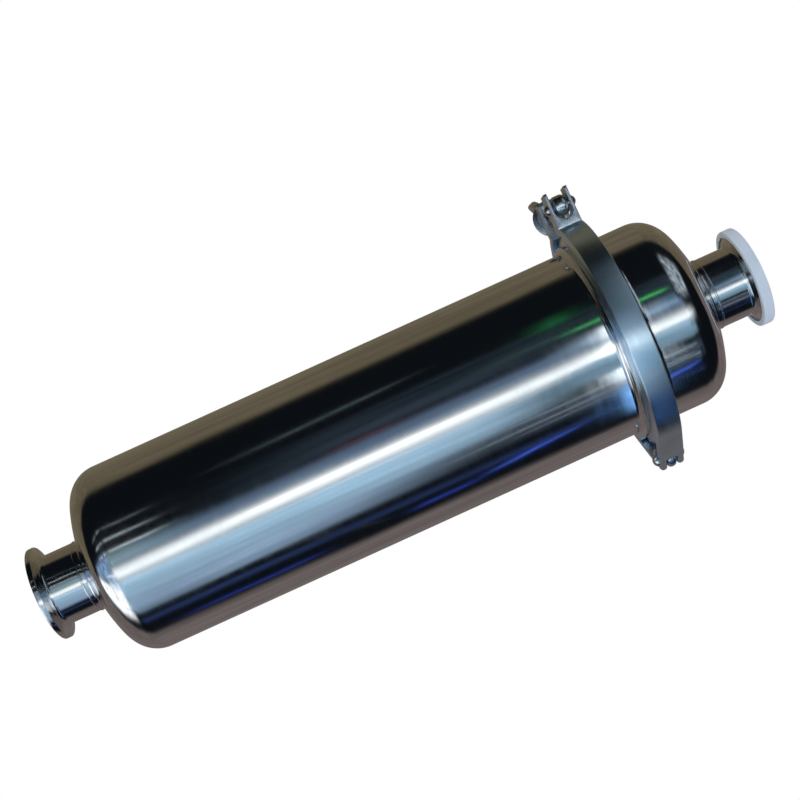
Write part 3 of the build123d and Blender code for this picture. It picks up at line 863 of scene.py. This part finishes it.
# Studio cards by name: the place is azimuth, half width, low, high and lean, in degrees, and
# the light is colour, strength, fades at the edges, fades at the ends, tilt and ripple
CARDS = {
    "wall_far_left": (-139, 48, -89, 89, 0, (0.66, 0.55, 0.36), 0.245,
                      (0.05, 0.12), (0.02, 0.02), -0.35, 0.25),
    "wall_far_right": (147, 45, -89, 89, 0.2, (0.64, 0.54, 0.52), 0.27,
                       (0.14, 0.05), (0.02, 0.02), 0.1, 0.25),
    "dim": (-30, 15, -15, 40, 0, (0.45, 0.70, 1.0), 0.045, (0.3, 0.1), (0.3, 0.2), 0.3, 0.8),
    "rise": (-7, 10, -40, 40, 0, (0.36, 0.55, 0.85), 0.28, (0.6, 0.10), SHORT, 0.9, 0.4),
    "rise_low": (-7, 10, -60, -12, 0, (0.55, 0.82, 0.95), 0.45, (0.4, 0.3), (0.1, 0.1), 0.6, 0.3),
    "rise_high": (-10, 10, 9.5, 22, 0, (0.34, 0.58, 0.85), 0.42, (0.45, 0.3), (0.25, 0.3), 0.6, 0.6),
    "cool": (34, 15, -60, 12, 0, (0.38, 0.59, 0.77), 1.05, (0.10, 0.22), (0.1, 0.12), -0.7, 0.25),
    "cool_low": (54, 15, -60, 9, 0, (0.36, 0.52, 0.72), 0.90, (0.35, 0.2), (0.1, 0.30), -0.8, 0.35),
    "cool_high": (54, 15, -2, 40, 0, (0.36, 0.50, 0.72), 0.12, (0.35, 0.2), (0.3, 0.24), -0.8, 0.6),
    "key": (12, 13, -60, 60, 0, (0.90, 0.97, 1.0), 1.45, SOFTEST, (0.1, 0.3), 0.0, 0.15),
    "key_core": (10.5, 3.6, -13, 9.5, 0, WHITE, 2.6, SOFTEST, (0.25, 0.3), 0.0, 0.05),
    "red": (-13.5, 1.6, -5, 1.5, 0, (1.0, 0.30, 0.45), 0.14, SOFT, FADING, 0.0, 0.2),
    "pale_left": (-54.5, 1.8, -12, 4, -0.3, (0.55, 0.78, 0.84), 0.22, SOFT, (0.5, 0.4), 0.0, 0.6),
    "green": (-25, 1.5, 11, 18.5, 0, (0.12, 1.0, 0.22), 1.0, SOFT, SHORT, 0.0, 0.2),
    "green_thin": (-28, 0.6, 4, 12, 0, (0.3, 0.9, 0.5), 0.25, SOFT, (0.4, 0.3), 0.0, 0.5),
    "green_blob": (-43, 12, 8.8, 12.8, 0, (0.10, 0.8, 0.30), 0.16, SOFTEST, SOFTEST, 0.0, 0.6),
    "pale_line_a": (47, 0.7, 1, 19, 0, PALE_BLUE, 0.6, SOFT, (0.3, 0.1), 0.0, 0.3),
    "pale_line_b": (55, 0.7, -1, 19, 0, PALE_BLUE, 0.7, SOFT, (0.3, 0.1), 0.0, 0.3),
    "pale_line_c": (61, 0.6, 5, 15, 0, PALE_BLUE, 0.4, SOFT, (0.3, 0.1), 0.0, 0.4),
    "pale_slant": (78, 1.6, -9, -2, 5.0, (0.6, 0.75, 0.9), 0.10, SOFT, FADING, 0.0, 0.2),
    "blue_low": (97, 4, -17, -5.5, 0, DEEP_BLUE, 0.24, SOFTEST, FADING, 0.0, 0.6),
    "blue_mid": (94, 4, -1.5, 4, 0, DEEP_BLUE, 0.34, SOFTEST, FADING, 0.0, 0.4),
    "blue_high": (79, 3.2, 3, 20, -1.6, (0.08, 0.18, 1.0), 0.9, SOFTEST, SHORT, 0.0, 0.3),
    "blue_side": (79, 6, -30, 30, 0, (0.2, 0.35, 1.0), 0.09, SOFT, SHORT, 0.0, 0.6),
    "low": (54, 34, -86, -27, 0, (0.92, 0.96, 1.0), 1.7, (0.25, 0.3), (0.1, 0.25), 0.0, 0.5),
    "low_blue": (2, 24, -84, -26, 0, (0.38, 0.60, 0.95), 0.60, (0.3, 0.25), (0.1, 0.25), 0.6, 0.7),
    "shoulder_a": (-42, 0.9, -60, -14.5, 0, PALE, 0.5, SOFT, (0.2, 0.05), 0.0, 0.8),
    "shoulder_b": (-28, 1.0, -60, -14.5, 0, PALE, 1.0, SOFT, (0.2, 0.05), 0.0, 0.8),
    "shoulder_c": (-15, 1.1, -60, -14.0, 0, PALE, 1.0, SOFT, (0.2, 0.05), 0.0, 0.8),
    "cap_streaks": (-38, 34, 21, 62, 0, (0.75, 0.88, 1.0), 0.45, (0.2, 0.3), (0.3, 0.2), 0.3, 0.95),
    "fork": (-8, 10, 13.5, 15.8, 0, (0.88, 0.95, 1.0), 2.2, FADING, (0.1, 0.1), 0.0, 0.1),
    "band_key": (30, 34, 13.5, 15.4, 0, (0.80, 0.92, 1.0), 5.2, (0.35, 0.4), (0.1, 0.1), -0.7, 0.3),
    "band_blue": (78, 28, 13.5, 15.4, 0, (0.22, 0.50, 1.0), 2.0, FADING, (0.1, 0.1), -0.6, 0.3),
    "cool_cap": (27, 12, 8, 45, 0, (0.34, 0.57, 0.76), 0.66, (0.10, 0.25), (0.12, 0.4), -0.9, 0.35),
    "key_line": (12.5, 2.4, -60, 60, 0, WHITE, 1.6, SOFTEST, (0.1, 0.3), 0.0, 0.05),
    "cap_line_a": (45, 0.9, 15.8, 24, 0, SKY, 0.55, SOFT, (0.1, 0.3), 0.0, 0.6),
    "cap_line_b": (58, 1.0, 15.8, 24, 0, SKY, 0.60, SOFT, (0.1, 0.3), 0.0, 0.6),
}


# Settings

def colour_property(name, whose, default):
    """Colour with its name in the panel and what it is the colour of."""
    return FloatVectorProperty(name=name, description="Colour of " + whose, subtype="COLOR",
                               size=3, min=0.0, max=1.0, default=default)


class StrainerSettings(bpy.types.PropertyGroup):
    """Colours, thread, card brightness and camera that the operators read"""
    polished_colour: colour_property("Polished steel", "the mirror-polished sheet", (0.72, 0.73, 0.74))
    polished_roughness: FloatProperty(
        name="Polish roughness", description="Roughness of the polished sheet",
        default=0.09, min=0.0, max=1.0)
    clamp_colour: colour_property("Clamp steel", "the brushed clamp castings", (0.69, 0.85, 0.98))
    clamp_roughness: FloatProperty(
        name="Clamp roughness", description="Roughness of the clamp's outer faces",
        default=0.30, min=0.0, max=1.0)
    lug_colour: colour_property("Lug steel", "the tumbled forks", (0.80, 0.85, 0.89))
    fastener_colour: colour_property("Fastener steel", "pins, bolt, washer and wing nut", (0.66, 0.67, 0.69))
    core_colour: colour_property("Core steel", "the strainer core", (0.60, 0.61, 0.62))
    outlet_gasket_colour: colour_property("Outlet gasket", "the lipped gasket", (0.68, 0.76, 0.87))
    body_gasket_colour: colour_property("Body gasket", "the gasket in the clamped joint", (0.70, 0.72, 0.74))
    thread_root: FloatProperty(
        name="Thread root", description="Root radius of the bolt's thread",
        subtype="DISTANCE", unit="LENGTH", default=0.00342, min=0.001, max=0.01)
    thread_depth: FloatProperty(
        name="Thread depth", description="Height of the thread above its root",
        subtype="DISTANCE", unit="LENGTH", default=0.00056, min=0.0, max=0.002)
    card_strength: FloatProperty(
        name="Card strength", description="Brightness of the studio cards",
        default=1.0, min=0.0, max=10.0)
    lens: FloatProperty(
        name="Lens", description="Focal length of the camera, in millimetres",
        default=65.35, min=10.0, max=300.0)
    roll: FloatProperty(
        name="Roll", description="Turn of the camera about its own line of sight",
        subtype="ANGLE", default=math.radians(65.584), min=-math.pi, max=math.pi)
    distance: FloatProperty(
        name="Distance", description="Camera to the pipe's axis",
        subtype="DISTANCE", unit="LENGTH", default=0.7566, min=0.1, max=5.0)
    height: FloatProperty(
        name="Height", description="Camera above the inlet's face",
        subtype="DISTANCE", unit="LENGTH", default=0.1993, min=-1.0, max=2.0)


def settings_of(context):
    """The scene's own settings."""
    return context.scene.strainer_settings


# Operators

class STRAINER_OT_polished(bpy.types.Operator):
    """Shape the dished ends and the port ferrules, and polish the barrel and the cap"""
    bl_idname = "strainer.polished"
    bl_label = "Polished shell"

    def execute(self, context):
        steel = polished_finish(settings_of(context))
        finish_nodes(steel, "barrel_tube", "barrel_clamp_ferrule", "cap_clamp_ferrule")
        cap_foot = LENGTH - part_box("cap_clamp_ferrule")[1][2]
        pieces = (("barrel_port", ferrule_profile(), "inlet_ferrule", False),
                  ("barrel_dish", dished_profile(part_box("barrel_tube")[0][2]), "barrel_end", False),
                  ("cap_port", ferrule_profile(), "outlet_ferrule", True),
                  ("cap_dish", dished_profile(cap_foot), "cap_end", True))
        for name, profile, node, upside_down in pieces:
            if upside_down:
                profile = profile * (1, -1) + (0.0, LENGTH)
            steel_piece(name, [(turned(profile), True, True)], steel,
                        "strainer", "polished_steel", node)
        return {"FINISHED"}


class STRAINER_OT_clamp(bpy.types.Operator):
    """Shape both halves of the clamp, their hinge straps and their forks"""
    bl_idname = "strainer.clamp"
    bl_label = "Clamp halves"

    def execute(self, context):
        settings = settings_of(context)
        steel = brushed_finish("brushed_clamp", settings.clamp_colour, settings.clamp_roughness,
                               across=900.0, depth=0.00008, stretch=0.8)
        relief = KNUCKLE_OUT + SLOT_RELIEF
        front_y = PIN_Y - FRONT_FORK_HALF
        back_y = PIN_Y + FRONT_FORK_HALF
        front = [band_shell(-1, -back_y, relief),
                 knuckle(-1, EAR_INSIDE, HALF_WIDTH, relief + 0.001),
                 knuckle(-1, -HALF_WIDTH, -EAR_INSIDE, relief + 0.001)]
        rear = [band_shell(1, REAR_FORK_Y, relief),
                knuckle(1, -TONGUE_HALF, TONGUE_HALF, relief + 0.001)]
        for level in (-1, 1):
            front.append(lip_tail(-1, level, LIP_END_EARS))
            rear.append(lip_tail(1, level, LIP_END_TONGUE))
        steel_piece("clamp_front", front, steel, "front_half", "clamp_steel", "clamp_front_half")
        steel_piece("clamp_rear", rear, steel, "strainer", "clamp_steel", "clamp_rear_half")
        lug = brushed_finish("tumbled_lug", settings.lug_colour, 0.24, across=500.0, depth=0.000003)
        steel_piece("clamp_front_fork", [fork_shell(front_y, lambda x: back_y)],
                    lug, "front_half", "clamp_steel")
        steel_piece("clamp_rear_fork", [fork_shell(REAR_FORK_Y, bearing_face)],
                    lug, "strainer", "clamp_steel")
        return {"FINISHED"}


class STRAINER_OT_fasteners(bpy.types.Operator):
    """Finish pins and washer, shape the wing nut and the bolt's eye, and cut its thread"""
    bl_idname = "strainer.fasteners"
    bl_label = "Fasteners"

    def execute(self, context):
        settings = settings_of(context)
        bright = brushed_finish("bright_fastener", settings.fastener_colour, 0.16,
                                across=1500.0, depth=0.00003)
        finish_nodes(bright, "hinge_pin", "bolt_pin", "swing_bolt", "nut_washer")
        steel_piece("swing_bolt_eye", [bolt_eye()], bright, "bolt", "fastener_steel")
        nut = [(on_bolt(turned(nut_hub(), steps=96)), True, True),
               nut_wing(180 + WING_TURN_DEG), nut_wing(WING_TURN_DEG)]
        steel_piece("cast_wing_nut", nut, bright, "nut", "fastener_steel", "wing_nut")
        thread = screw_thread(settings)
        thread.data.materials.append(bright)
        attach(thread, "bolt")
        return {"FINISHED"}


class STRAINER_OT_core(bpy.types.Operator):
    """Finish the strainer core, its mesh and its handle"""
    bl_idname = "strainer.core"
    bl_label = "Core"

    def execute(self, context):
        settings = settings_of(context)
        satin = brushed_finish("satin_core", settings.core_colour, 0.26, across=700.0, depth=0.00004)
        finish_nodes(satin, "core_ring", "core_tube", "core_bottom", "upper_mesh_band",
                     "lower_mesh_band", "core_bail")
        finish_nodes(woven_finish(settings), "mesh_sleeve")
        return {"FINISHED"}


class STRAINER_OT_gaskets(bpy.types.Operator):
    """Finish the two silicone gaskets"""
    bl_idname = "strainer.gaskets"
    bl_label = "Gaskets"

    def execute(self, context):
        settings = settings_of(context)
        outlet = silicone_finish("outlet_silicone", settings.outlet_gasket_colour)
        body = silicone_finish("body_silicone", settings.body_gasket_colour)
        finish_nodes(outlet, "outlet_gasket")
        finish_nodes(body, "body_gasket")
        return {"FINISHED"}


class STRAINER_OT_stage(bpy.types.Operator):
    """Set up the pale floor, the studio cards, the surroundings and the camera"""
    bl_idname = "strainer.stage"
    bl_label = "Stage"

    def execute(self, context):
        settings = settings_of(context)
        for number, (name, row) in enumerate(CARDS.items()):
            place, (colour, strength, *fades) = row[:5], row[5:]
            card = card_patch("card_" + name, CARD_RADIUS - CARD_STEP * number, *place)
            glow = card_light("glow_" + name, colour, strength * settings.card_strength, *fades)
            card.data.materials.append(glow)
        self.floor()
        self.surroundings(context)
        self.camera(context, settings)
        context.scene.view_settings.view_transform = "Standard"
        return {"FINISHED"}

    def floor(self):
        """Pale level floor: a disc whose ring radius grows with the square of its number."""
        ring = FLOOR_R * (np.linspace(0.0, 1.0, FLOOR_RINGS) ** 2)[:, None]
        turn = np.linspace(0, 2 * math.pi, FLOOR_SPOKES, endpoint=False)[None, :]
        points = joined(ring * np.cos(turn), ring * np.sin(turn), -FLOOR_DROP)
        made = grid_mesh("pale_floor", points, wrap_v=True)
        made.visible_glossy = False
        material, tree, output = bare_material("pale_floor_paint")
        glow = add_node(tree, "ShaderNodeEmission", (200, 100),
                        {"Color": opaque((1.0, 1.0, 1.0)), "Strength": 1.0})
        feed(tree, output, {"Surface": glow.outputs[0]})
        made.data.materials.append(material)

    def surroundings(self, context):
        """White to the camera, a soft pale light on matt surfaces, near black in reflections."""
        world = bpy.data.worlds.new("studio")
        context.scene.world = world
        world.use_nodes = True
        tree = world.node_tree
        tree.nodes.clear()
        output = add_node(tree, "ShaderNodeOutputWorld", (800, 0))
        path = add_node(tree, "ShaderNodeLightPath", (-200, 200))
        shades = []
        for colour, strength, y in (((0.55, 0.75, 1.0), 0.008, -200), ((0.86, 0.93, 1.0), 0.75, 0),
                                    ((1.0, 1.0, 1.0), 1.0, 200)):
            shade = add_node(tree, "ShaderNodeBackground", (0, y),
                             {"Color": opaque(colour), "Strength": strength})
            shades.append(shade.outputs[0])
        matt = add_node(tree, "ShaderNodeMixShader", (300, -100),
                        {0: path.outputs["Is Diffuse Ray"], 1: shades[0], 2: shades[1]})
        seen = add_node(tree, "ShaderNodeMixShader", (550, 0),
                        {0: path.outputs["Is Camera Ray"], 1: matt.outputs[0], 2: shades[2]})
        feed(tree, output, {"Surface": seen.outputs[0]})

    def camera(self, context, settings):
        """Camera facing +Y, rolled so that the pipe climbs to the right of the frame."""
        data = bpy.data.cameras.new("view")
        data.sensor_width = 36.0
        data.lens = settings.lens
        data.clip_start = 0.01
        made = placed("view", data)
        aim = Matrix.Rotation(math.radians(90.0), 4, "X")
        turn = Matrix.Rotation(CAMERA_PAN, 4, "Y") @ Matrix.Rotation(CAMERA_TILT, 4, "X")
        roll = Matrix.Rotation(settings.roll, 4, "Z")
        spot = Matrix.Translation((CAMERA_X, -settings.distance, settings.height))
        made.matrix_world = spot @ aim @ turn @ roll
        context.scene.camera = made


class STRAINER_PT_panel(bpy.types.Panel):
    """The pieces, the stage and the settings in the sidebar"""
    bl_idname = "STRAINER_PT_panel"
    bl_label = "Pipe strainer"
    bl_space_type = "VIEW_3D"
    bl_region_type = "UI"
    bl_category = "Strainer"

    def draw(self, context):
        for item in OPERATORS:
            self.layout.operator(item.bl_idname)
        for key in StrainerSettings.__annotations__:
            self.layout.prop(settings_of(context), key)


OPERATORS = (STRAINER_OT_polished, STRAINER_OT_clamp, STRAINER_OT_fasteners,
             STRAINER_OT_core, STRAINER_OT_gaskets, STRAINER_OT_stage)


def register():
    """Add the settings, the operators and the panel."""
    for item in (StrainerSettings, *OPERATORS, STRAINER_PT_panel):
        bpy.utils.register_class(item)
    bpy.types.Scene.strainer_settings = PointerProperty(type=StrainerSettings)


def unregister():
    """Take them away again."""
    del bpy.types.Scene.strainer_settings
    for item in reversed((StrainerSettings, *OPERATORS, STRAINER_PT_panel)):
        bpy.utils.unregister_class(item)


def main():
    """Build every piece and the stage."""
    register()
    bpy.ops.strainer.polished()
    bpy.ops.strainer.clamp()
    bpy.ops.strainer.fasteners()
    bpy.ops.strainer.core()
    bpy.ops.strainer.gaskets()
    bpy.ops.strainer.stage()


if __name__ == "__main__":
    main()
